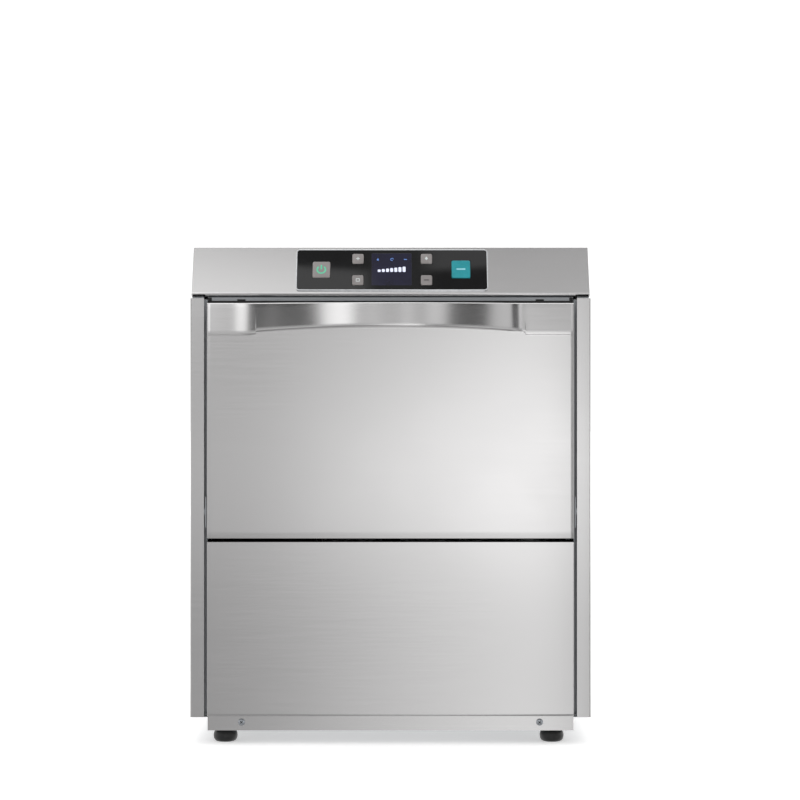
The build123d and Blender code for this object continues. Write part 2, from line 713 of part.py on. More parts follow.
def foot(x, y):
    """Screw-in levelling foot: a bulged pad on a steel stem."""
    neck = STEM_RADIUS + 3
    outline = [(0, 0), (13.5, 0)]
    bulge = ThreePointArc((13.5, 0), (FOOT_RADIUS, 8.5), (neck + 2, 17))
    dip = ThreePointArc((neck + 2, 17), (neck - 1, 14), (STEM_RADIUS, 15))
    edges = Polyline(*outline) + bulge + dip + Polyline((STEM_RADIUS, 15), (STEM_RADIUS, 62),
                                                       (0, 62), (0, 0))
    face = make_face(edges)
    body = revolve(Plane.XZ * face, Axis.Z)
    return Pos(x, y, 0) * body


def build():
    """Make every sub-part, by node name."""
    parts = {
        "base_tray": base_tray(),
        "front_plinth": front_plinth(),
        "plinth_screws": plinth_screws(),
        "rear_panel": rear_panel(),
        "top_cover": top_cover(),
        "control_header": control_header(),
        "control_glass": control_glass(),
        "control_board": control_board(),
        "top_rail": top_rail(),
        "service_panel": service_panel(),
        "tub_rear_wall": tub_rear(),
        "tub_ceiling": tub_ceiling(),
        "tub_floor": tub_floor(),
        "door_sill": door_sill(),
        "door_gasket": door_gasket(),
        "lower_spindle": lower_spindle(),
        "wash_riser": wash_riser(),
        "lower_wash_arm": spray_arm(329, 14, 30, ARM_REACH, 6, True, 0),
        "lower_rinse_arm": spray_arm(342.5, 9, 16, ARM_REACH - 4, 5, True, 90),
        "upper_wash_arm": spray_arm(603.5, 14, 30, ARM_REACH, 6, False, 0),
        "upper_rinse_arm": spray_arm(591.7, 8.6, 16, ARM_REACH - 4, 5, False, 90),
        "filter_tray": filter_tray(),
        "overflow_pipe": overflow_pipe(),
        "tank_heater": tank_heater(),
        "wash_pump": wash_pump(),
        "pump_rotor": pump_rotor(),
        "pump_hoses": pump_hoses(),
        "boiler": boiler(),
        "boiler_heater": boiler_heater(),
        "drain_pump": drain_pump(),
        "inlet_valve": inlet_valve(),
        "dosing_pumps": dosing_pumps(),
        "electrical_box": electrical_box(),
        "cable_gland": cable_gland(),
        "door_skin": door_skin(),
        "door_handle": door_handle(),
        "door_liner": door_liner(),
        "door_crown": door_crown(),
        "hinge_pins": hinge_pins(),
        "door_springs": door_springs(),
    }
    for name, side in (("left", -1), ("right", 1)):
        parts[f"front_post_{name}"] = front_post(side)
        parts[f"side_panel_{name}"] = side_panel(side)
        parts[f"tub_wall_{name}"] = tub_wall(side)
        parts[f"rack_rail_{name}"] = rack_rail(side)
        parts[f"hinge_arm_{name}"] = hinge_arm(side)
    for name, sizes in BUTTONS.items():
        parts[name] = button(*sizes)
    for name, place in FOOT_PLACES.items():
        parts[name] = foot(*place)
    return parts


def main():
    """Write each sub-part to its own STEP file."""
    os.makedirs("parts", exist_ok=True)
    for name, shape in build().items():
        export_step(shape, f"parts/{name}.step")


main()
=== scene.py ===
"""Looks of an undercounter glass washer with a drop-down door.

Brushed stainless casing, a bowed pressed handle, a sloping header with a gloss control plate, and
everything behind the door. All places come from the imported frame, in metres.
"""

import json
import logging
import math
from dataclasses import dataclass, field
from enum import Enum
from typing import Callable, Iterable, Sequence

import bpy
from mathutils import Matrix, Vector

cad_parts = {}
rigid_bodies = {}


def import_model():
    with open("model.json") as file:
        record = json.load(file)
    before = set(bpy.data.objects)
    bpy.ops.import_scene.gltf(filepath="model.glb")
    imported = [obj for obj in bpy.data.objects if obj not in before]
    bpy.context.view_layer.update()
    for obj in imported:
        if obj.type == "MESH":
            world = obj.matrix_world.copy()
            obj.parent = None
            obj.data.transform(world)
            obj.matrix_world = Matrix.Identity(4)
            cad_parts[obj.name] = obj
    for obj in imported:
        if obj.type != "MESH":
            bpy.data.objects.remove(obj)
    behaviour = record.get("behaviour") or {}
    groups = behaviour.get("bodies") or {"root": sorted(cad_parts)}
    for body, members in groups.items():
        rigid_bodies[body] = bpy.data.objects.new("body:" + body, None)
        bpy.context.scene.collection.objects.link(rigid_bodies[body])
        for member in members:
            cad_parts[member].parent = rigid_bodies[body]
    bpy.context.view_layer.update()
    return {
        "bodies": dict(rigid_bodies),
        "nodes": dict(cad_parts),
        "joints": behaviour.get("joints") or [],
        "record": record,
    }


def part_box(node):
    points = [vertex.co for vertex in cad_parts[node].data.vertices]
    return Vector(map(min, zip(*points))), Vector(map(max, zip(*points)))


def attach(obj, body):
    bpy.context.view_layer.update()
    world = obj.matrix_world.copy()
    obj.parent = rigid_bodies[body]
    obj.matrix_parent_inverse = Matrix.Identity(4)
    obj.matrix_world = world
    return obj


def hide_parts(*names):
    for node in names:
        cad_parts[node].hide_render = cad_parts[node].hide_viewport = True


LOG = logging.getLogger("glass_washer")
MM = 0.001

Point = tuple[float, float, float]
Face = tuple[int, ...]
Pairs = list[tuple[float, float]]
Band = tuple[tuple[float, float], ...]
Tree = bpy.types.NodeTree
Socket = bpy.types.NodeSocket

# Six even steps of a quarter turn, without its start
QUARTER = tuple(math.radians(15 * i) for i in range(1, 7))


# ---- Names ----


class Body(Enum):
    """Moving bodies that pieces ride on."""

    CHASSIS = "chassis"
    DOOR = "door"


class Slot(Enum):
    """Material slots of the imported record."""

    SKIN = "stainless_skin"
    TUB = "stainless_tub"
    FRAME = "stainless_frame"
    GLOSS = "control_gloss"
    BUTTON_GREY = "button_grey"
    BUTTON_TEAL = "button_teal"
    BOARD = "board"
    RUBBER = "rubber_black"
    FOOT = "foot_black"
    POLYMER = "polymer_grey"
    ALLOY = "pump_alloy"
    ZINC = "zinc_steel"
    HEATER = "heater_steel"
    BRASS = "brass_fitting"


class Stretch(Enum):
    """Direction across the brush lines, in which a highlight is drawn out."""

    UP = (0.0, 0.0, 1.0)
    DEPTH = (0.0, 1.0, 0.0)


class Icon(Enum):
    """Generic marks on the keys."""

    POWER = "power"
    CROSS = "cross"
    FRAME = "frame"
    DIAMOND = "diamond"
    BAR = "bar"
    DASH = "dash"


# ---- Colour and node helpers ----


def soft_step(share: float) -> float:
    """Soft step of a share, held between 0 and 1."""
    held = min(max(share, 0.0), 1.0)
    return held * held * (3 - 2 * held)


def linear(hex_colour: str) -> tuple[float, float, float, float]:
    """Turn an sRGB hex colour into linear RGBA.

    Args:
        hex_colour: Six hex digits with a leading hash.

    Returns:
        Linear red, green and blue, and an alpha of 1.
    """
    channels = [int(hex_colour[i:i + 2], 16) / 255 for i in (1, 3, 5)]
    values = [c / 12.92 if c <= 0.04045 else ((c + 0.055) / 1.055) ** 2.4 for c in channels]
    return (values[0], values[1], values[2], 1.0)


def connect(tree: Tree, node: bpy.types.Node, **inputs: object) -> None:
    """Set or link some inputs of a node.

    Args:
        tree: Node tree of the node.
        node: Node that gets the inputs.
        **inputs: Values, or output sockets to link, by socket name with underscores. An i and a
            number stand for a socket's place in the list.
    """
    for name, value in inputs.items():
        key = int(name[1:]) if name[0] == "i" and name[1:].isdigit() else name.replace("_", " ")
        if isinstance(value, Socket):
            tree.links.new(value, node.inputs[key])
        else:
            node.inputs[key].default_value = value


def add_node(tree: Tree, kind: str, settings: dict | None = None,
             **inputs: object) -> bpy.types.Node:
    """Add one node with its settings, its socket values and its links.

    Args:
        tree: Node tree that gets the node.
        kind: Node type, without the ShaderNode prefix.
        settings: Properties of the node itself.
        **inputs: Socket values and links, as connect() takes them.

    Returns:
        The new node.
    """
    node = tree.nodes.new("ShaderNode" + kind)
    for name, value in (settings or {}).items():
        setattr(node, name, value)
    connect(tree, node, **inputs)
    return node


def empty_tree(owner: bpy.types.Material | bpy.types.World) -> Tree:
    """Turn on an owner's nodes and clear them.

    Args:
        owner: Material or surroundings.

    Returns:
        Its node tree, with nothing in it.
    """
    owner.use_nodes = True
    owner.node_tree.nodes.clear()
    return owner.node_tree


@dataclass(frozen=True)
class Bench:
    """One material's nodes while its finish dresses them."""

    tree: Tree
    surface: bpy.types.Node
    place: Socket

    def noise(self, size: float, detail: float, roughness: float = 0.5) -> Socket:
        """Cloudy pattern in the piece's own space.

        Args:
            size: Size of its patches, in metres.
            detail: How many finer layers it has.
            roughness: How strong the finer layers are.

        Returns:
            The pattern.
        """
        return add_node(self.tree, "TexNoise", None, Vector=self.place, Scale=1 / size,
                        Detail=detail, Roughness=roughness).outputs["Fac"]

    def spread(self, pattern: Socket, low: float, high: float) -> Socket:
        """Spread a pattern's middle range over two limits.

        Args:
            pattern: The pattern.
            low: Result at the start of the range.
            high: Result at its end.

        Returns:
            The spread value.
        """
        return add_node(self.tree, "MapRange", None, Value=pattern, From_Min=0.35, From_Max=0.65,
                        To_Min=low, To_Max=high).outputs["Result"]

    def tone(self, pattern: Socket, dark: str, colour: str) -> Socket:
        """Colour that drifts between two hex colours with a pattern."""
        return add_node(self.tree, "Mix", {"data_type": "RGBA"}, i6=linear(dark),
                        i7=linear(colour), i0=self.spread(pattern, 0.0, 1.0)).outputs[2]

    def bump(self, height: Socket, strength: float, depth: float) -> Socket:
        """Normal of a fine relief."""
        return add_node(self.tree, "Bump", None, Strength=strength, Distance=depth,
                        Height=height).outputs["Normal"]

    def dress(self, **inputs: object) -> None:
        """Set or link inputs of the surface shader."""
        connect(self.tree, self.surface, **inputs)


# ---- Finishes ----


@dataclass(frozen=True)
class Finish:
    """A surface finish that builds one procedural material."""

    name: str

    def shader(self, bench: Bench) -> None:
        """Dress the surface shader. Each finish has its own way."""
        raise NotImplementedError

    def material(self) -> bpy.types.Material:
        """Build the material once and hand out the same one after that.

        Returns:
            The finish's material.
        """
        found = bpy.data.materials.get(self.name)
        if found is not None:
            return found
        made = bpy.data.materials.new(self.name)
        tree = empty_tree(made)
        surface = add_node(tree, "BsdfPrincipled")
        add_node(tree, "OutputMaterial", None, Surface=surface.outputs["BSDF"])
        self.shader(Bench(tree, surface, add_node(tree, "TexCoord").outputs["Object"]))
        return made


@dataclass(frozen=True)
class BrushedStainless(Finish):
    """Stainless 304 sheet, belt brushed: long fine lines, and reflections drawn out across them."""

    colour: str = "#d1d0d0"
    rough: float = 0.17
    anisotropy: float = 0.55
    stretch: Stretch = Stretch.UP
    line_length: float = 90.0
    line_width: float = 1.6  # real lines are 0.1 mm wide, drawn coarser so that they show
    cloud: float = 160.0
    uneven: float = 0.008
    relief: float = 0.02

    def shader(self, bench: Bench) -> None:
        """Put brush lines in tone, gloss and relief, and clouds in the gloss.

        Args:
            bench: Material to dress.
        """
        tree = bench.tree
        lengthwise, across = 1 / (self.line_length * MM), 1 / (self.line_width * MM)
        stretched = add_node(tree, "Mapping", None, Vector=bench.place,
                             Scale=(lengthwise, across, across))
        lines = add_node(tree, "TexNoise", None, Vector=stretched.outputs["Vector"],
                         Scale=1.0, Detail=3.0, Roughness=0.6).outputs["Fac"]
        shade = add_node(tree, "CombineColor", None,
                         **{c: bench.spread(lines, 0.98, 1.0) for c in ("Red", "Green", "Blue")})
        tone = add_node(tree, "Mix", {"data_type": "RGBA", "blend_type": "MULTIPLY"}, i0=1.0,
                        i6=linear(self.colour), i7=shade.outputs["Color"])
        clouds = bench.noise(self.cloud * MM, 2.0)
        gloss = add_node(tree, "Math", {"operation": "ADD"},
                         i0=bench.spread(lines, self.rough - self.uneven,
                                         self.rough + self.uneven),
                         i1=bench.spread(clouds, -self.uneven, self.uneven))
        drawn_out = add_node(tree, "CombineXYZ", None, **dict(zip("XYZ", self.stretch.value)))
        turned = add_node(tree, "VectorTransform",
                          {"convert_from": "OBJECT", "convert_to": "WORLD",
                           "vector_type": "VECTOR"}, Vector=drawn_out.outputs["Vector"])
        bench.dress(Base_Color=tone.outputs[2], Roughness=gloss.outputs[0], Metallic=1.0,
                    Anisotropic=self.anisotropy, Tangent=turned.outputs["Vector"],
                    Normal=bench.bump(lines, self.relief, 0.05 * MM))


@dataclass(frozen=True)
class CastOrDrawnMetal(Finish):
    """Bare metal part, cast, drawn or plated: grainy tone and a slightly uneven gloss."""

    colour: str = "#b9bcc0"
    dark: str = "#9c9fa3"
    rough: float = 0.38
    uneven: float = 0.08
    grain: float = 6.0
    relief: float = 0.1

    def shader(self, bench: Bench) -> None:
        """Mottle the tone and the gloss, with a fine casting relief.

        Args:
            bench: Material to dress.
        """
        mottle = bench.noise(self.grain * MM, 5.0, 0.65)
        bench.dress(Base_Color=bench.tone(mottle, self.dark, self.colour), Metallic=1.0,
                    Roughness=bench.spread(mottle, self.rough + self.uneven,
                                           self.rough - self.uneven),
                    Normal=bench.bump(mottle, self.relief, 0.2 * MM))


@dataclass(frozen=True)
class MouldedPolymer(Finish):
    """Injection-moulded plastic or rubber: spark-eroded texture, soft sheen, faint tone drift."""

    colour: str = "#8f8a8a"
    dark: str = "#7f7b7b"
    rough: float = 0.42
    grit: float = 0.9
    relief: float = 0.12
    uneven: float = 0.05
    patch: float = 22.0
    glow: float = 0.0

    def shader(self, bench: Bench) -> None:
        """Let the tone drift over the part, with grit in its gloss and relief.

        Args:
            bench: Material to dress.
        """
        tone = bench.tone(bench.noise(self.patch * MM, 3.0), self.dark, self.colour)
        grit = bench.noise(self.grit * MM, 4.0, 0.7)
        bench.dress(Base_Color=tone,
                    Roughness=bench.spread(grit, self.rough - self.uneven,
                                           self.rough + self.uneven),
                    Normal=bench.bump(grit, self.relief, 0.1 * MM))
        # Glow: the tone given off as light, lamps for the display marks and painted glow for the
        # printed key marks.
        if self.glow:
            bench.dress(Emission_Color=tone, Emission_Strength=self.glow)


# Belt-brushed 304 sheet of the casing: pale neutral grey, reflections drawn out up and down.
CASING = BrushedStainless("brushed_stainless_casing")
# The same sheet on the level lid: reflections drawn out from front to back.
LID = BrushedStainless("brushed_stainless_lid", stretch=Stretch.DEPTH, rough=0.25)
# Lower service panel: the casing sheet a shade darker, painted shade for its darker reflection of
# the floor.
SERVICE_SHEET = BrushedStainless("brushed_stainless_service_panel", colour="#d0cfcf")
# Mill-finished sheet of the tub: duller and cloudier than the casing.
TUB_SHEET = BrushedStainless("mill_stainless_tub", colour="#b9bcbe", rough=0.42, anisotropy=0.4,
                             line_length=40.0, line_width=2.2, relief=0.08)
# Folded brackets and trays: plain cold-rolled stainless, the darkest of the sheets.
FRAME_SHEET = BrushedStainless("cold_rolled_stainless", colour="#a4a7aa", rough=0.48,
                               anisotropy=0.3, line_length=30.0, line_width=2.4, relief=0.1)
# Gloss black acrylic plate: deep black with sharp reflections and faint wipe marks.
ACRYLIC = MouldedPolymer("gloss_black_acrylic", "#08080a", "#050506", rough=0.03, uneven=0.006,
                         grit=7.0, relief=0.0)
# Tinted display window: violet-navy under gloss.
WINDOW = MouldedPolymer("tinted_display_window", "#1b1a33", "#17162b", rough=0.06, uneven=0.01,
                        grit=7.0, relief=0.0)
# Translucent grey silicone keycaps: warm grey with a soft sheen.
KEY_GREY = MouldedPolymer("moulded_grey_key", "#928d8c", "#868180", rough=0.34)
# Teal ABS key: moulded in its own colour.
KEY_TEAL = MouldedPolymer("moulded_teal_key", "#1c98a3", "#128b94", rough=0.3)
# Printed marks on the keys, the green, pale and aqua ones with a faint painted glow, and lit marks
# on the display.
INK_GREEN_GLOW = MouldedPolymer("green_key_ink_painted_glow", "#62c6a0", "#58bd97", rough=0.4, glow=0.12)
INK_PALE_GLOW = MouldedPolymer("pale_key_ink_painted_glow", "#d6dcdc", "#c8cfcf", rough=0.4, glow=0.06)
INK_AQUA_GLOW = MouldedPolymer("aqua_key_ink_painted_glow", "#9fdbe6", "#92d0dc", rough=0.4, glow=0.06)
INK_DARK = MouldedPolymer("dark_key_ink", "#3b3a3c", "#323133", rough=0.45)
INK_BLUE = MouldedPolymer("blue_display_light", "#5e83c8", "#5478bb", rough=0.4, glow=0.35)
INK_WHITE = MouldedPolymer("white_display_light", "#cfd2e4", "#c2c6da", rough=0.4, glow=0.55)
# Carbon-black EPDM rubber: matt and dark. It also serves as painted shade: the black crosses in the
# plinth screws and the black seal in the gap over the door.
RUBBER = MouldedPolymer("epdm_rubber_and_painted_shade", "#1c1c1d", "#121213", rough=0.62, relief=0.25)
# Glass-filled nylon feet: near black with a satin sheen.
NYLON = MouldedPolymer("nylon_foot", "#1d1d1e", "#151516", rough=0.4, grit=1.2)
# Grey polypropylene housings: matt, slightly speckled.
POLYPROPYLENE = MouldedPolymer("polypropylene_housing", "#77797c", "#6b6d70", rough=0.5, relief=0.2)
# Glass-epoxy circuit board: dark green laminate with a resin sheen.
LAMINATE = MouldedPolymer("glass_epoxy_board", "#1f4a34", "#183c2a", rough=0.35)
# Die-cast aluminium pump: pale, open grain.
ALLOY = CastOrDrawnMetal("die_cast_aluminium", "#b4b6b8", "#929496", rough=0.5, relief=0.35)
# Bright zinc plate on screws and springs: cool and a little mottled.
ZINC = CastOrDrawnMetal("zinc_plated_steel", "#c2c6cb", "#a3a8ae", rough=0.28, grain=3.0)
# Heater sheath: straw-tinted by heat.
HEATER = CastOrDrawnMetal("heat_tinted_sheath", "#a2968a", "#7a7068", rough=0.4, grain=14.0)
# Turned brass of the water inlet: warm yellow.
BRASS = CastOrDrawnMetal("turned_brass", "#d9b866", "#b99547", rough=0.25, grain=4.0)
# Polished stainless edge of the control plate.
BRIGHT_EDGE = CastOrDrawnMetal("polished_stainless_edge", "#dcdee0", "#cfd1d4", rough=0.14,
                               relief=0.0)


# ---- Mesh helpers ----


@dataclass
class Shape:
    """Vertices and faces of a piece, with one finish index for each face."""

    vertices: list[Point] = field(default_factory=list)
    faces: list[Face] = field(default_factory=list)
    finishes: list[int] = field(default_factory=list)

    def add(self, vertices: Sequence[Sequence[float]], faces: Iterable[Face],
            finish: int = 0) -> None:
        """Add vertices and faces that count from the first of them.

        Args:
            vertices: Points to add.
            faces: Faces over those points.
            finish: Finish index of the new faces.
        """
        first = len(self.vertices)
        self.vertices.extend(tuple(v) for v in vertices)
        for face in faces:
            self.faces.append(tuple(first + i for i in face))
            self.finishes.append(finish)

    def loft(self, rings: Sequence[Sequence[Sequence[float]]], finish: int = 0,
             cap_start: bool = True, cap_end: bool = True) -> None:
        """Join closed rings of equal length into a skin.

        Args:
            rings: Rings of points, in order.
            finish: Finish index of the skin.
            cap_start: Whether the first ring is closed with a face.
            cap_end: Whether the last ring is closed with a face.
        """
        count = len(rings[0])
        faces = [(r * count + i, r * count + (i + 1) % count,
                  (r + 1) * count + (i + 1) % count, (r + 1) * count + i)
                 for r in range(len(rings) - 1) for i in range(count)]
        if cap_start:
            faces.append(tuple(reversed(range(count))))
        if cap_end:
            faces.append(tuple((len(rings) - 1) * count + i for i in range(count)))
        self.add([p for ring in rings for p in ring], faces, finish)

    def turned(self, profile: Sequence[tuple[float, float]], place: Matrix,
               segments: int = 48, finish: int = 0) -> None:
        """Turn a profile of radius and height about its own axis.

        Args:
            profile: Radius and height pairs, from one end of the axis to the other.
            place: Where the axis stands.
            segments: Steps round the axis.
            finish: Finish index of the skin.
        """
        rings = []
        for radius, height in profile:
            rings.append([place @ Vector((radius * math.cos(a), radius * math.sin(a), height))
                          for a in (math.tau * i / segments for i in range(segments))])
        self.loft(rings, finish)

    def tube(self, path: Sequence[Vector], radius: float, sides: int = 10,
             finish: int = 0) -> None:
        """Sweep a round section along a path.

        Args:
            path: Points of the path.
            radius: Radius of the section.
            sides: Sides of the section.
            finish: Finish index of the skin.
        """
        rings = []
        normal = Vector((0, 0, 1))
        for index, point in enumerate(path):
            ahead = path[min(index + 1, len(path) - 1)] - path[max(index - 1, 0)]
            ahead.normalize()
            side = ahead.cross(normal)
            if side.length < 0.1:
                side = ahead.cross(Vector((1, 0, 0)))
            side.normalize()
            normal = side.cross(ahead).normalized()
            rings.append([point + radius * (math.cos(a) * side + math.sin(a) * normal)
                          for a in (math.tau * i / sides for i in range(sides))])
        self.loft(rings, finish)

    def build(self, name: str, finishes: Sequence[Finish], smooth: float = 35.0
              ) -> bpy.types.Object:
        """Make the object.

        Args:
            name: Name of the piece.
            finishes: Finishes that the face indices count into.
            smooth: Largest angle, in degrees, that is shaded smooth.

        Returns:
            The new object, in the scene.
        """
        mesh = bpy.data.meshes.new(name)
        mesh.from_pydata(self.vertices, [], self.faces)
        for finish in finishes:
            mesh.materials.append(finish.material())
        mesh.polygons.foreach_set("material_index", self.finishes)
        mesh.update()
        mesh.validate()
        mesh.shade_smooth()
        mesh.set_sharp_from_angle(angle=math.radians(smooth))
        piece = bpy.data.objects.new(name, mesh)
        bpy.context.scene.collection.objects.link(piece)
        return piece


def rounded_rectangle(half_width: float, half_height: float, corner: float,
                      steps: int = 6) -> Pairs:
    """Pairs of a rectangle with round corners, anticlockwise.

    Args:
        half_width: Half the width.
        half_height: Half the height.
        corner: Corner radius.
        steps: Steps in each corner.

    Returns:
        Points of the outline.
    """
    points = []
    centres = ((1, 1, 0), (-1, 1, 90), (-1, -1, 180), (1, -1, 270))
    for sx, sy, start in centres:
        for step in range(steps + 1):
            angle = math.radians(start + 90 * step / steps)
            points.append((sx * (half_width - corner) + corner * math.cos(angle),
                           sy * (half_height - corner) + corner * math.sin(angle)))
    return points


def join_piece(piece: bpy.types.Object, body: Body | str,
               replaces: Sequence[str] = ()) -> bpy.types.Object:
    """Hand a finished piece over to the frame.

    Args:
        piece: The piece.
        body: Body that it rides on.
        replaces: CAD nodes that it stands for.

    Returns:
        The piece.
    """
    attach(piece, body.value if isinstance(body, Body) else body)
    if replaces:
        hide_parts(*replaces)
    LOG.info("piece %s on %s", piece.name, body)
    return piece


# ---- Door ----


@dataclass
class DoorFront:
    """Outer face of the door: a flat sheet pressed forward into a bowed handle along its top."""

    raise_flat: float = 0.6 * MM
    crease_flat: float = 588.8 * MM
    crease_end: float = 592.8 * MM
    crease_middle: float = 599.7 * MM
    corner: float = 0.45 * MM
    top_round: float = 1.8 * MM
    sheet: float = 1.2 * MM
    step_width: float = 2.2 * MM
    lean: float = 1.9 * MM  # how far the band's top is set back from its lower edge
    lip: float = 1.8 * MM  # rounding of the band's lower edge
    shelf: float = 0.5 * MM  # height of the slope under that rounding
    fold: float = 7.9 * MM  # depth of the folded edges
    # How far past the handle's end the bow starts, and the length over which it dies away
    bow_left: tuple[float, float] = (42.0 * MM, 72.0 * MM)
    bow_right: tuple[float, float] = (4.0 * MM, 32.0 * MM)
    low: Vector = field(init=False)
    high: Vector = field(init=False)
    face: float = field(init=False)
    half: float = field(init=False)
    bow: float = field(init=False)
    bowed: tuple[tuple[float, list[float]], ...] = field(init=False)

    def __post_init__(self) -> None:
        """Take the door's box and the handle's reach from the frame."""
        self.low, self.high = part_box("door_skin")
        handle_low, handle_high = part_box("door_handle")
        self.face = self.low.y
        self.half = (handle_high.x - handle_low.x) / 2
        self.bow = self.face - handle_low.y
        self.bowed = (self.ease_bow(*self.bow_left), self.ease_bow(*self.bow_right))

    def arc(self, x: float, end: float, middle: float) -> float:
        """Height of a circular arc over the handle's width.

        Args:
            x: Distance from the middle.
            end: Value at both ends.
            middle: Value in the middle.

        Returns:
            The arc's value.
        """
        rise = middle - end
        radius = (self.half ** 2 + rise ** 2) / (2 * rise)
        return end + math.sqrt(max(radius ** 2 - x * x, 0.0)) - (radius - rise)

    def blend(self, x: float) -> float:
        """Share of the handle in the shape, from 0 on the flats to 1 on the bow."""
        return soft_step((self.half + self.step_width - abs(x)) / self.step_width)

    def reach(self, x: float) -> float:
        """How far the band stands out of the door's face, bowed with eased ends.

        Args:
            x: Place across the door.

        Returns:
            Distance in front of the face.
        """
        span, shares = self.bowed[0] if x < 0 else self.bowed[1]
        steps = len(shares) - 1
        at = min(abs(x) / span, 1.0) * steps
        low = min(int(at), steps - 1)
        value = shares[low] + (shares[low + 1] - shares[low]) * (at - low)
        return self.raise_flat + (self.bow - self.raise_flat) * value

    def ease_bow(self, beyond: float, run_out: float) -> tuple[float, list[float]]:
        """Work out the bow's share from the middle out to the flat, with no kink at its end.

        Args:
            beyond: How far past the handle's end the bow starts.
            run_out: Length over which its slope dies away.

        Returns:
            Half the bow's width, and its share at even steps over that.
        """
        span, steps = self.half + beyond, 400
        radius = (self.half ** 2 + self.bow ** 2) / (2 * self.bow)
        slopes = [x / math.sqrt(radius ** 2 - x * x) * soft_step((span - x) / run_out)
                  for x in (span * (step + 0.5) / steps for step in range(steps))]
        total = left = sum(slopes)
        shares = [1.0]
        for slope in slopes:
            left -= slope
            shares.append(left / total)
        return span, shares

    def crease(self, x: float) -> float:
        """Height of the band's lower edge.

        Args:
            x: Place across the door.

        Returns:
            The height.
        """
        share = self.blend(x)
        inside = min(abs(x), self.half)
        return (1 - share) * self.crease_flat + share * self.arc(inside, self.crease_end,
                                                                 self.crease_middle)

    def columns(self) -> Pairs:
        """Places across the door, each with how far its edge is rounded back.

        Returns:
            Pairs of x and rounding offset.
        """
        inner = self.high.x - self.corner
        stepped = self.half + self.step_width
        turn = [math.radians(18 * i) for i in range(1, 6)]
        right = [(inner + self.corner * math.sin(a), a) for a in turn]
        outer = [self.half + self.step_width * i / 6 for i in range(1, 7)]
        outer += [stepped + (inner - stepped) * i / 14 for i in range(1, 15)]
        marks = {self.half * i / 96 for i in range(-96, 97)}
        marks.update(outer, (-x for x in outer))
        return [(-x, a) for x, a in reversed(right)] + [(x, 0.0) for x in sorted(marks)] + right

    def rows(self, x: float) -> list[tuple[float, float, float]]:
        """Section of the door at one place across it, from the bottom up.

        Args:
            x: Place across the door.

        Returns:
            Height, distance in front of the face and edge angle of each row.
        """
        crease, reach = self.crease(x), self.reach(x)
        # On the shallow flats the lip and the toe of its slope shrink with the reach
        lip = min(self.lip, 0.7 * reach)
        toe, under = 0.35 * min(MM, reach), reach - lip
        start = self.low.z + self.corner
        base = crease + self.shelf
        lowest, top = base + lip, self.high.z - self.top_round
        section = [(start - self.corner * math.sin(a), 0.0, a)
                   for a in (math.radians(90 - 18 * i) for i in range(5))]
        section += [(start + (crease - 2 * MM - start) * i / 30, 0.0, 0.0) for i in range(31)]
        section += [(crease - 0.6 * MM, 0.0, 0.0), (crease, toe, 0.0)]
        section += [(crease + self.shelf * i / 4, toe + (under - toe) * i / 4, 0.0)
                    for i in range(1, 5)]
        section += [(base + lip * (1 - math.cos(a)), under + lip * math.sin(a), 0.0)
                    for a in QUARTER]
        section += [(lowest + (top - lowest) * i / 8, reach - self.lean * i / 8, 0.0)
                    for i in range(1, 9)]
        section += [(top + self.top_round * math.sin(a),
                     reach - self.lean - self.top_round * (1 - math.cos(a)), 0.0)
                    for a in QUARTER]
        return section

    def build(self) -> None:
        """Press the sheet, fold its edges back and dress it."""
        back = self.face + self.fold
        grid = []
        for x, side_angle in self.columns():
            column = []
            for z, front, end_angle in self.rows(x):
                rounded = self.corner * (1 - math.cos(side_angle) * math.cos(end_angle))
                column.append((x, self.face - front + rounded, z))
            foot, crown = column[0][2], column[-1][2]
            if abs(x) <= self.half:
                hem = column[-1][1] + 0.4 * MM
                column += [(x, hem, crown), (x, hem + 0.1 * MM, crown - 5 * MM)]
            else:
                column += [(x, back - 0.3 * MM, crown), (x, back, crown)]
            grid.append([(x, back, foot)] + column)
        sides = [[(x, back, z) for x, _, z in grid[end]] for end in (0, -1)]
        grid = [sides[0], *grid, sides[1]]
        count = len(grid[0])
        faces = [(c * count + r, (c + 1) * count + r, (c + 1) * count + r + 1, c * count + r + 1)
                 for c in range(len(grid) - 1) for r in range(count - 1)]
        shape = Shape()
        shape.add([p for column in grid for p in column], faces)
        piece = shape.build("door_front", [CASING], smooth=38.0)
        thick = piece.modifiers.new("sheet", "SOLIDIFY")
        thick.thickness = self.sheet
        thick.offset = -1.0
        thick.use_even_offset = False
        join_piece(piece, Body.DOOR, ("door_skin", "door_handle"))


# ---- Control panel ----


@dataclass
class PanelPlace:
    """Frame of the sloping control plate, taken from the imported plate."""

    tilt_y: float = 0.4414
    tilt_z: float = 0.8973
    plate_thick: float = 2.0 * MM
    normal: Vector = field(init=False)
    up: Vector = field(init=False)
    centre: Vector = field(init=False)
    half: tuple[float, float] = field(init=False)

    def __post_init__(self) -> None:
        """Find the outer face of the plate."""
        self.normal = Vector((0, -self.tilt_z, self.tilt_y))
        self.up = Vector((0, self.tilt_y, self.tilt_z))
        low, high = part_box("control_glass")
        self.centre = (low + high) / 2 + self.normal * self.plate_thick / 2
        length = (high.z - low.z - self.plate_thick * self.tilt_y) / self.tilt_z
        self.half = ((high.x - low.x) / 2, length / 2)

    def at(self, origin: Vector, across: float, along: float, out: float) -> Vector:
        """A point on the panel.

        Args:
            origin: Origin of the part on the panel.
            across: Distance to the right.
            along: Distance up the slope.
            out: Distance out of the face.

        Returns:
            The point.
        """
        return origin + Vector((across, 0, 0)) + self.up * along + self.normal * out

    def ring(self, origin: Vector, outline: Iterable[tuple[float, float]],
             out: float) -> list[Vector]:
        """An outline laid on the panel at one height out of its face."""
        return [self.at(origin, a, b, out) for a, b in outline]


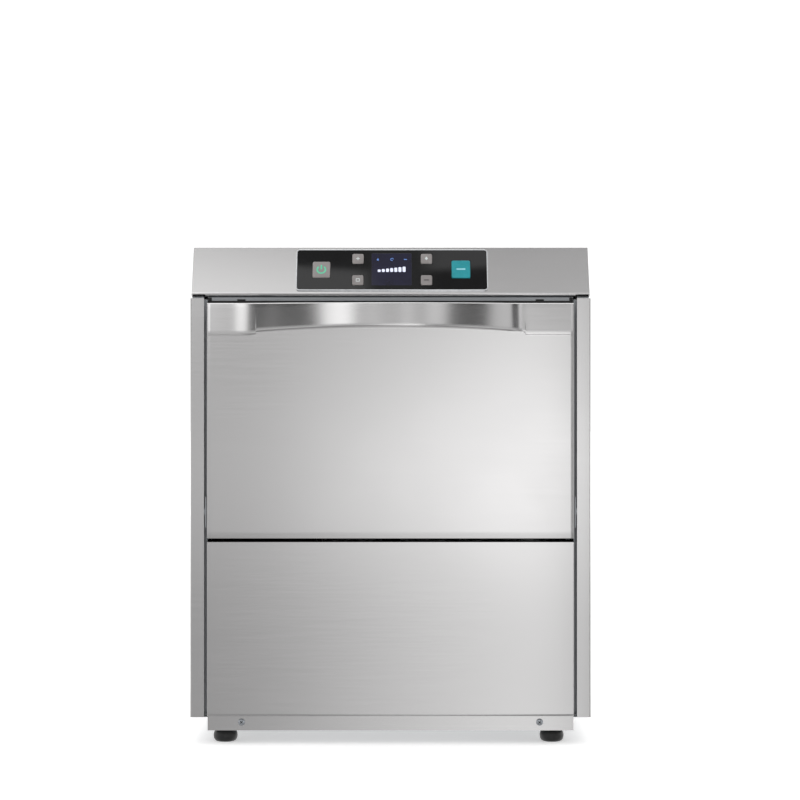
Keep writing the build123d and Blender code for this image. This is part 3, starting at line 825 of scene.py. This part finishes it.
class Marks:
    """Flat outlines of the generic marks, in millimetres about their own middle."""

    @staticmethod
    def band(radius: float, width: float, start: float, end: float,
             steps: int = 28) -> Pairs:
        """Part of a ring.

        Args:
            radius: Radius of its middle line.
            width: Width of the band.
            start: First angle in degrees.
            end: Last angle in degrees.
            steps: Steps along it.

        Returns:
            The outline.
        """
        angles = [math.radians(start + (end - start) * i / steps) for i in range(steps + 1)]
        outer = [((radius + width / 2) * math.cos(a), (radius + width / 2) * math.sin(a))
                 for a in angles]
        inner = [((radius - width / 2) * math.cos(a), (radius - width / 2) * math.sin(a))
                 for a in reversed(angles)]
        return outer + inner

    @staticmethod
    def bar(width: float, height: float, x: float = 0.0, y: float = 0.0
            ) -> Pairs:
        """A bar with slightly rounded ends about one place."""
        outline = rounded_rectangle(width / 2, height / 2, min(width, height) * 0.3, 3)
        return [(x + a, y + b) for a, b in outline]

    @classmethod
    def outlines(cls, icon: Icon) -> list[Pairs]:
        """Pairss that make up one mark.

        Args:
            icon: The mark.

        Returns:
            Closed outlines.
        """
        if icon is Icon.POWER:
            return [cls.band(6.0, 2.3, 130, 410), cls.bar(2.3, 7.4, 0, 4.0)]
        if icon is Icon.CROSS:
            return [cls.bar(5.4, 1.2), cls.bar(1.2, 2.0, 0, 1.7), cls.bar(1.2, 2.0, 0, -1.7)]
        if icon is Icon.FRAME:
            return [cls.bar(5.6, 1.0, 0, 2.2), cls.bar(5.6, 1.0, 0, -2.2),
                    cls.bar(1.0, 3.2, -2.3, 0), cls.bar(1.0, 3.2, 2.3, 0)]
        if icon is Icon.DIAMOND:
            return [[(0, 3.6), (-2.4, 0.0), (0, -2.6), (2.4, 0.0)]]
        if icon is Icon.BAR:
            return [cls.bar(7.4, 1.5)]
        return [cls.bar(13.0, 2.4)]


@dataclass
class Key:
    """One sprung key: a domed cap with a mark let into it, on a shank through the plate."""

    node: str
    icon: Icon
    cap: Finish
    ink: Finish
    slot: Slot
    corner: float = 2.4 * MM
    edge: float = 0.9 * MM
    depth: float = 8.0 * MM
    dish: float = 0.12 * MM  # how far the middle of the cap is let in

    def build(self, place: PanelPlace) -> None:
        """Build the cap and its mark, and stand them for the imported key.

        Args:
            place: Frame of the control panel.
        """
        low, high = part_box(self.node)
        top = (low + high) / 2 + place.normal * self.depth / 2
        half_across = (high.x - low.x) / 2
        half_along = (high.z - low.z - self.depth * place.tilt_y) / place.tilt_z / 2
        shape = Shape()
        rings = []
        levels = [(0.0, -self.depth), (0.0, -self.edge)]
        levels += [(self.edge * (1 - math.cos(a)), -self.edge * (1 - math.sin(a)))
                   for a in QUARTER]
        for inset, out in levels:
            outline = rounded_rectangle(half_across - inset, half_along - inset,
                                        self.corner - 0.6 * inset)
            rings.append(place.ring(top, outline, out))
        for share in (0.7, 0.35, 0.06):
            outline = rounded_rectangle((half_across - self.edge) * share,
                                        (half_along - self.edge) * share, self.corner * share)
            rings.append(place.ring(top, outline, -self.dish * (1 - share)))
        shape.loft(rings)
        for outline in Marks.outlines(self.icon):
            scaled = [(x * MM, y * MM) for x, y in outline]
            shape.loft([place.ring(top, scaled, out) for out in (-0.3 * MM, 0.03 * MM)], 1)
        piece = shape.build(self.node + "_cap", [self.cap, self.ink])
        join_piece(piece, self.node, (self.node,))


@dataclass
class ControlPanel:
    """Gloss plate with its bright edge, keys and display."""

    place: PanelPlace = field(default_factory=PanelPlace)
    edge_width: float = 1.1 * MM
    edge_corner: float = 4.0 * MM
    window: tuple[float, float] = (29.0 * MM, 26.5 * MM)
    window_offset: tuple[float, float] = (-0.5 * MM, 0.9 * MM)
    icon_row: float = 16.5
    bars: int = 7
    bar_pitch: float = 6.0
    mark_out: float = 0.13 * MM  # how far the lit marks stand out

    def keys(self) -> list[Key]:
        """The six keys.

        Returns:
            Keys in their order across the plate.
        """
        grey = (KEY_GREY, INK_PALE_GLOW, Slot.BUTTON_GREY)
        return [
            Key("power_button", Icon.POWER, KEY_GREY, INK_GREEN_GLOW, Slot.BUTTON_GREY),
            Key("select_button_1", Icon.CROSS, *grey),
            Key("select_button_2", Icon.FRAME, *grey),
            Key("select_button_3", Icon.DIAMOND, *grey),
            Key("select_button_4", Icon.BAR, KEY_GREY, INK_DARK, Slot.BUTTON_GREY),
            Key("start_button", Icon.DASH, KEY_TEAL, INK_AQUA_GLOW, Slot.BUTTON_TEAL),
        ]

    def bright_edge(self) -> None:
        """Thin polished strip round the plate."""
        half_x, half_z = self.place.half
        shape = Shape()
        rings = []
        for grow, out in ((0.0, -2.0), (0.0, 0.25), (0.3, 0.45), (0.7, 0.45), (1.0, 0.25),
                          (1.0, -2.0)):
            wide = self.edge_width * grow + 0.05 * MM
            outline = rounded_rectangle(half_x + wide, half_z + wide, self.edge_corner + wide)
            rings.append(self.place.ring(self.place.centre, outline, out * MM))
        shape.loft(rings + rings[:1], 0, cap_start=False, cap_end=False)
        piece = shape.build("plate_edge", [BRIGHT_EDGE])
        join_piece(piece, Body.CHASSIS)

    def display(self) -> None:
        """Tinted window with generic lit marks under its gloss."""
        place = self.place
        middle = place.at(place.centre, *self.window_offset, 0.0)
        wide, tall = self.window
        shape = Shape()
        shape.loft([place.ring(middle, rounded_rectangle(wide - inset, tall - inset, 1.5 * MM),
                               out)
                    for inset, out in ((0.0, -1.9 * MM), (0.0, 0.02 * MM), (0.15 * MM, 0.1 * MM))])
        drop = [(0, 2.2), (-1.7, -0.6), (-1.1, -1.9), (1.1, -1.9), (1.7, -0.6)]
        icons = ((-20.0, drop), (0.5, Marks.band(1.9, 0.9, 0, 300, 14)),
                 (20.0, Marks.bar(4.6, 1.2)))
        lit = [([(x + a, self.icon_row + b) for a, b in outline], 1) for x, outline in icons]
        for index in range(self.bars):
            rise = 4.0 + 0.8 * index
            x = (index - (self.bars - 1) / 2) * self.bar_pitch
            lit.append((Marks.bar(4.4, rise, x, 0.5 * rise - 4.4), 2))
        for outline, finish in lit:
            points = [(a * MM, b * MM) for a, b in outline]
            shape.loft([place.ring(middle, points, out) for out in (0.0, self.mark_out)], finish)
        piece = shape.build("display_window", [WINDOW, INK_BLUE, INK_WHITE], 15.0)
        join_piece(piece, Body.CHASSIS)

    def build(self) -> None:
        """Build everything on the control plate."""
        self.bright_edge()
        self.display()
        for key in self.keys():
            key.build(self.place)


# ---- Recess over the door ----


@dataclass
class DoorHeadSealAndShade:
    """Black seal and end blocks in the recess between the door and the header: partly the door's
    rubber seal, partly painted shade of that gap.
    """

    tall: float = 3.4 * MM
    thick: float = 0.8 * MM
    clearance: float = 0.5 * MM
    clip_tall: float = 2.2 * MM
    clip_inset: float = 48.0 * MM
    filler_set_back: float = 1.5 * MM
    filler_depth: float = 60.0 * MM
    gap: float = 0.05 * MM

    def block(self, shape: Shape, x: tuple[float, float], z: tuple[float, float],
              y: tuple[float, float]) -> None:
        """Add a moulded block with softened front edges.

        Args:
            shape: Shape that gets the block.
            x: Its two sides.
            z: Its underside and top.
            y: Its front and back.
        """
        centre = Vector((sum(x) / 2, 0, sum(z) / 2))
        half_x, half_z = (x[1] - x[0]) / 2, (z[1] - z[0]) / 2
        corner = 0.35 * min(half_x, half_z)
        rings = []
        for inset, depth in ((0.0, y[1]), (0.0, y[0] + 0.3 * MM), (0.25 * MM, y[0])):
            outline = rounded_rectangle(half_x - inset, half_z - inset, corner, 4)
            rings.append([centre + Vector((a, depth, b)) for a, b in outline])
        shape.loft(rings)

    def build(self) -> None:
        """Lay the seal under the rail's face, with a block and a clip at each end; their black is
        painted shade of the gap over the door.
        """
        low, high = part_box("top_rail")
        door_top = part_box("door_skin")[1].z
        front = low.y - self.thick
        base = door_top + self.clearance
        top = base + self.tall
        shape = Shape()
        # The black seal, end blocks and clips paint the shade in the gap over the door.
        self.block(shape, (low.x, high.x), (base, top), (front, low.y))
        for side in (-1, 1):
            ends = sorted((side * (high.x - 0.2 * MM), side * (high.x - 5.4 * MM)))
            self.block(shape, tuple(ends), (top, high.z - 0.3 * MM), (front, low.y))
            clip = side * (high.x - self.clip_inset)
            self.block(shape, (clip - 6 * MM, clip + 6 * MM), (top, top + self.clip_tall),
                       (front + 0.3 * MM, low.y))
        piece = shape.build("door_head_seal_and_shade", [RUBBER])
        join_piece(piece, Body.CHASSIS)
        self.fillers()

    def fillers(self) -> None:
        """Close the gaps between the side panels and the header's underside."""
        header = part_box("control_header")[0]
        front = header.y + self.filler_set_back
        for side in ("left", "right"):
            low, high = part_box("side_panel_" + side)
            shape = Shape()
            self.block(shape, (low.x + 1.5 * MM, high.x - 1.5 * MM),
                       (high.z + self.gap, header.z - self.gap), (front, front + self.filler_depth))
            piece = shape.build("header_filler_" + side, [FRAME_SHEET])
            join_piece(piece, Body.CHASSIS)


# ---- Feet, springs and fittings ----


@dataclass
class ScrewFoot:
    """Levelling foot: nylon pad moulded on a threaded stem."""

    node: str
    pitch: float = 1.5 * MM
    stem: float = 4.95 * MM
    thread_depth: float = 0.45 * MM
    # Half section of the pad: share of its radius, and height in millimetres
    pad: tuple[tuple[float, float], ...] = (
        (0.0, 0.25), (0.55, 0.25), (0.6, 0.0), (0.74, 0.0), (0.86, 1.2), (0.97, 4.2), (1.0, 8.5),
        (0.985, 11.2), (0.93, 13.8), (0.84, 15.8), (0.74, 16.9), (0.62, 17.0), (0.5, 16.3),
        (0.42, 15.2), (0.3, 14.9))
    thread_start: float = 15.5 * MM

    def build(self) -> None:
        """Turn the pad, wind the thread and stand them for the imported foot."""
        low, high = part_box(self.node)
        x, y = (low.x + high.x) / 2, (low.y + high.y) / 2
        radius = (high.x - low.x) / 2
        place = Matrix.Translation((x, y, low.z))
        shape = Shape()
        profile = [(max(r * radius, 0.05 * MM), z * MM) for r, z in self.pad]
        shape.turned(profile, place, 64, 0)
        stem_top = high.z - low.z
        threads: Pairs = [(self.stem * 0.8, 14.0 * MM)]
        z = self.thread_start
        while z < stem_top - 2.0 * MM:
            threads += [(self.stem, z), (self.stem, z + 0.2 * self.pitch),
                        (self.stem - self.thread_depth, z + 0.55 * self.pitch),
                        (self.stem - self.thread_depth, z + 0.7 * self.pitch)]
            z += self.pitch
        threads += [(self.stem - 0.5 * MM, stem_top - 0.6 * MM), (self.stem - MM, stem_top)]
        shape.turned(threads, place, 28, 1)
        piece = shape.build(self.node + "_turned", [NYLON, ZINC])
        join_piece(piece, self.node, (self.node,))


@dataclass
class DoorSprings:
    """Pair of coil springs that balance the door, each with a hook at both ends."""

    wire: float = 0.9 * MM
    turns: int = 52
    turn_steps: int = 14
    hook: float = 8.0 * MM

    def build(self) -> None:
        """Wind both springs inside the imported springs' room."""
        low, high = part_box("door_springs")
        radius = (high.y - low.y) / 2 - self.wire
        y = (low.y + high.y) / 2
        shape = Shape()
        for x in (low.x + radius + self.wire, high.x - radius - self.wire):
            bottom, top = low.z + self.hook, high.z - self.hook
            steps = self.turns * self.turn_steps
            path = [Vector((x, y, low.z + self.wire)), Vector((x, y, bottom - 2 * MM))]
            for step in range(steps + 1):
                angle = math.tau * self.turns * step / steps
                ease = min(step, steps - step, self.turn_steps) / self.turn_steps
                path.append(Vector((x + radius * ease * math.cos(angle),
                                    y + radius * ease * math.sin(angle),
                                    bottom + (top - bottom) * step / steps)))
            path += [Vector((x, y, top + 2 * MM)), Vector((x, y, high.z - self.wire))]
            shape.tube(path, self.wire, 7)
        piece = shape.build("door_springs_wound", [ZINC], 60)
        join_piece(piece, Body.CHASSIS, ("door_springs",))


@dataclass
class PlinthScrews:
    """Two pan-head screws that hold the plinth, each cross recess drawn as a black cross of painted
    shade.
    """

    # Half section of the head: share of its radius, and height in millimetres
    head: tuple[tuple[float, float], ...] = (
        (0.05, -0.2), (0.35, -0.15), (0.62, -0.5), (0.84, -1.0), (0.96, -1.7), (1.0, -2.4))
    shank: float = 0.56
    shade_cross_depth: float = 1.2

    def build(self) -> None:
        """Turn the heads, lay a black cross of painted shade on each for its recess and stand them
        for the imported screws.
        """
        low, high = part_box("plinth_screws")
        radius, length = (high.z - low.z) / 2, high.y - low.y
        z = (low.z + high.z) / 2
        shape = Shape()
        for x in (low.x + radius, high.x - radius):
            place = Matrix.Translation((x, low.y, z)) @ Matrix.Rotation(math.radians(90), 4, "X")
            profile = [(r * radius, h * MM) for r, h in self.head]
            profile += [(self.shank * radius, profile[-1][1]),
                        (self.shank * radius, -length + 0.2 * MM), (0.4 * radius, -length)]
            shape.turned(profile, place, 40)
            # A black cross a little proud of the head paints the shade of each cross recess.
            for turn in (45, 135):
                spin = place @ Matrix.Rotation(math.radians(turn), 4, "Z")
                outline = rounded_rectangle(0.46 * radius, 0.11 * radius, 0.08 * radius, 3)
                shape.loft([[spin @ Vector((a, b, h * MM)) for a, b in outline]
                            for h in (-self.shade_cross_depth, -0.02)], 1)
        piece = shape.build("plinth_screws_turned", [ZINC, RUBBER])
        join_piece(piece, Body.CHASSIS, ("plinth_screws",))


# ---- Parts carried over from the frame ----


@dataclass
class CarriedParts:
    """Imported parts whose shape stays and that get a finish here."""

    # One finish for each slot, in the order of Slot
    finishes: tuple[Finish, ...] = (CASING, TUB_SHEET, FRAME_SHEET, ACRYLIC, KEY_GREY, KEY_TEAL,
                                    LAMINATE, RUBBER, NYLON, POLYPROPYLENE, ALLOY, ZINC, HEATER,
                                    BRASS)
    by_node: dict[str, Finish] = field(
        default_factory=lambda: {"top_cover": LID, "service_panel": SERVICE_SHEET})

    def dress(self, frame: dict) -> None:
        """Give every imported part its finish.
        """
        by_slot = {slot.value: finish for slot, finish in zip(Slot, self.finishes)}
        for node, piece in frame["nodes"].items():
            for holder in piece.material_slots:
                plain = holder.material.name.split(".")[0] if holder.material else ""
                finish = self.by_node.get(node) or by_slot.get(plain)
                if finish is None:
                    LOG.warning("no finish for %s in %s", plain, node)
                    finish = FRAME_SHEET
                holder.material = finish.material()
        LOG.info("dressed %d packed parts", len(frame["nodes"]))


# ---- Studio ----


@dataclass
class Studio:
    """Soft tent of light, pale floor and camera."""

    tent_radius: float = 6.0
    tent_height: float = 0.45
    tent_columns: int = 480
    strength: float = 1.55
    crown: float = 1.3
    floor_radius: float = 30.0
    floor_glow: float = 0.42
    camera_place: Point = (0.0136, -3.2775, 0.495)
    lens: float = 94.14
    # Brightness round the horizon: degrees to the right of straight ahead of the door, value
    around: Band = (
        (-180, 0.8), (-140, 0.95), (-110, 0.7), (-60, 0.5), (-20, 0.4), (-9, 0.34), (-6, 0.36),
        (-4.8, 0.42), (-3.6, 0.5), (-1.3, 0.6), (0.9, 0.7), (3.1, 0.78), (4.6, 0.86),
        (7.1, 1.14), (8.1, 0.2), (12, 0.25), (20, 0.4), (60, 0.5), (110, 0.7), (140, 0.95),
        (180, 0.8))
    # The same a little higher, where the leaning handle band looks
    around_band: Band = (
        (-180, 0.8), (-110, 0.7), (-60, 0.5), (-33, 0.5), (-30, 0.6), (-28.5, 0.1), (-22, 0.04),
        (-16.6, 0.08), (-14.2, 1.0), (-9.2, 1.1), (-7.6, 0.34), (-5.2, 0.4), (-4.6, 0.55),
        (-3.4, 0.55), (-2, 0.36), (0, 0.4), (2, 0.34), (3.4, 0.56), (5.0, 0.56), (6.0, 0.33),
        (8.5, 0.34), (9.6, 0.62), (13.2, 0.62), (15.4, 0.08), (24, 0.04), (26, 0.5), (33, 0.5),
        (60, 0.5), (110, 0.7), (180, 0.8))
    # Factor on both by height above the horizon
    rising: Band = (
        (-90, 0.5), (-16, 0.8), (-11, 0.85), (-9.6, 0.8), (-8.2, 0.52), (-6.6, 0.8),
        (-4.6, 1.22), (-2.6, 1.46), (0, 1.1), (2.2, 0.84), (5, 0.9), (9, 1.0), (90, 1.0))
    # Overhead panels above the header, left, middle and right: height in degrees, value
    overhead_left: Band = ((-90, 0.92), (55.1, 0.88), (55.3, 0.2), (90, 0.2))
    overhead_middle: Band = (
        (-90, 0.6), (53.9, 0.6), (54.2, 0.33), (55.1, 0.3), (56.2, 0.3), (57, 0.25), (90, 0.25))
    overhead_right: Band = (
        (-90, 0.52), (54.0, 0.48), (54.2, 0.18), (55.1, 0.18), (55.3, 0.7), (56.1, 0.68),
        (56.4, 0.12), (90, 0.12))

    @staticmethod
    def read(band: Band, angle: float) -> float:
        """Read a band at one angle with soft steps between its marks.

        Args:
            band: Angle and value pairs, in order.
            angle: Angle in degrees.

        Returns:
            The value.
        """
        for (a0, v0), (a1, v1) in zip(band, band[1:]):
            if a0 <= angle <= a1:
                return v0 + (v1 - v0) * soft_step((angle - a0) / (a1 - a0))
        return band[-1][1]

    def glow(self, azimuth: float, elevation: float) -> float:
        """Brightness of the tent in one direction.

        Args:
            azimuth: Degrees to the right of straight ahead of the door.
            elevation: Degrees above the horizon.

        Returns:
            Brightness.
        """
        # Each pair is the angle where a soft change starts and how many degrees it takes
        climb = soft_step((elevation - 3.5) / 3.5)
        low = (1 - climb) * self.read(self.around, azimuth)
        low += climb * self.read(self.around_band, azimuth)
        low *= self.read(self.rising, elevation)
        left, right = soft_step((-azimuth - 1.4) / 1.4), soft_step((azimuth - 1.4) / 1.4)
        high = left * self.read(self.overhead_left, elevation)
        high += right * self.read(self.overhead_right, elevation)
        high += (1 - left - right) * self.read(self.overhead_middle, elevation)
        behind = soft_step((abs(azimuth) - 40) / 40)
        high = (1 - behind) * high + behind * 0.8
        rise = soft_step((elevation - 30) / 12)
        lamp = soft_step((elevation - 64) / 8)
        return (1 - lamp) * ((1 - rise) * low + rise * high) + lamp * self.crown

    def tent(self) -> None:
        """Ball of lit cloth that the camera doesn't see."""
        # Rows of the tent, closest together where the sloping header looks
        levels = [float(v) for v in range(-88, -16, 6)]
        levels += [-16 + v for v in range(34)] + [float(v) for v in range(20, 50, 3)]
        levels += [50.0, 52.0, 53.0] + [53.6 + 0.1 * v for v in range(34)]
        levels += [57.0 + v for v in range(5)] + [float(v) for v in range(62, 90, 3)]
        azimuths = [-180 + 360 * c / self.tent_columns for c in range(self.tent_columns)]
        shape = Shape()
        shape.loft([[self.toward(azimuth, elevation) for azimuth in azimuths]
                    for elevation in levels], cap_start=False, cap_end=False)
        last, top = len(shape.vertices) - self.tent_columns, len(shape.vertices)
        shape.vertices.append((0.0, 0.0, self.tent_radius))
        shape.faces += [(last + c, last + (c + 1) % self.tent_columns, top)
                        for c in range(self.tent_columns)]
        values = [self.glow(azimuth, elevation) for elevation in levels for azimuth in azimuths]
        mesh = bpy.data.meshes.new("light_tent")
        mesh.from_pydata(shape.vertices, [], shape.faces)
        layer = mesh.attributes.new("glow", "FLOAT", "POINT")
        layer.data.foreach_set("value", values + [self.crown])
        cloth = bpy.data.materials.new("lit_tent_cloth")
        tree = empty_tree(cloth)
        level = add_node(tree, "Attribute", {"attribute_name": "glow"})
        power = add_node(tree, "Math", {"operation": "MULTIPLY"}, i0=level.outputs["Fac"],
                         i1=self.strength)
        light = add_node(tree, "Emission", None, Strength=power.outputs[0])
        add_node(tree, "OutputMaterial", None, Surface=light.outputs["Emission"])
        cloth.cycles.emission_sampling = "NONE"
        tent = self.stand(mesh, cloth)
        tent.location = (0.0, 0.0, self.tent_height)
        tent.visible_camera = False
        tent.visible_shadow = False

    def toward(self, azimuth: float, elevation: float) -> Point:
        """Point of the tent in one direction, both angles in degrees."""
        a, e = math.radians(azimuth), math.radians(elevation)
        return (self.tent_radius * math.cos(e) * math.sin(a),
                -self.tent_radius * math.cos(e) * math.cos(a), self.tent_radius * math.sin(e))

    @staticmethod
    def stand(mesh: bpy.types.Mesh, material: bpy.types.Material) -> bpy.types.Object:
        """Stand a mesh in the scene as part of the stage.

        Args:
            mesh: The mesh.
            material: Its material.

        Returns:
            The new object, named like its mesh.
        """
        mesh.materials.append(material)
        prop = bpy.data.objects.new(mesh.name, mesh)
        bpy.context.scene.collection.objects.link(prop)
        LOG.info("staged %s", prop.name)
        return prop

    def floor(self) -> None:
        """Pale floor, bright enough to meet the backdrop without a line."""
        paper = bpy.data.materials.new("matt_studio_paper")
        paper.use_nodes = True
        tree = paper.node_tree
        place = add_node(tree, "TexCoord").outputs["Object"]
        fibre = add_node(tree, "TexNoise", None, Vector=place, Scale=1 / (3 * MM), Detail=3.0)
        tone = add_node(tree, "Mix", {"data_type": "RGBA"}, i0=fibre.outputs["Fac"],
                        i6=linear("#f3f3f3"), i7=linear("#f7f7f7"))
        connect(tree, tree.nodes["Principled BSDF"], Base_Color=tone.outputs[2], Roughness=0.9,
                Specular_IOR_Level=0.1, Emission_Color=(1, 1, 1, 1),
                Emission_Strength=self.floor_glow)
        mesh = bpy.data.meshes.new("studio_floor")
        angles = [math.tau * i / 96 for i in range(96)]
        ring = [(self.floor_radius * math.cos(a), self.floor_radius * math.sin(a), 0.0)
                for a in angles]
        mesh.from_pydata(ring, [], [tuple(range(len(ring)))])
        self.stand(mesh, paper).visible_glossy = False

    def backdrop(self) -> None:
        """Plain white surroundings behind the object."""
        world = bpy.data.worlds.new("white_surroundings")
        bpy.context.scene.world = world
        tree = empty_tree(world)
        sky = add_node(tree, "Background", None, Color=(1, 1, 1, 1), Strength=1.2)
        add_node(tree, "OutputWorld", None, Surface=sky.outputs["Background"])

    def camera(self) -> None:
        """Level camera straight in front of the door."""
        data = bpy.data.cameras.new("studio_camera")
        data.lens = self.lens
        data.sensor_width = 36.0
        camera = bpy.data.objects.new("studio_camera", data)
        camera.location = self.camera_place
        camera.rotation_euler = (math.radians(90), 0, 0)
        bpy.context.scene.collection.objects.link(camera)
        bpy.context.scene.camera = camera

    def build(self) -> None:
        """Set up light, floor, backdrop and camera."""
        bpy.context.scene.view_settings.view_transform = "Standard"
        self.tent()
        self.floor()
        self.backdrop()
        self.camera()


def main() -> None:
    """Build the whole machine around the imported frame."""
    logging.basicConfig(level=logging.INFO, format="%(name)s: %(message)s")
    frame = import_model()
    CarriedParts().dress(frame)
    DoorFront().build()
    ControlPanel().build()
    DoorHeadSealAndShade().build()
    for name in ("foot_front_left", "foot_front_right", "foot_rear_left", "foot_rear_right"):
        ScrewFoot(name).build()
    DoorSprings().build()
    PlinthScrews().build()
    Studio().build()


if __name__ == "__main__":
    main()
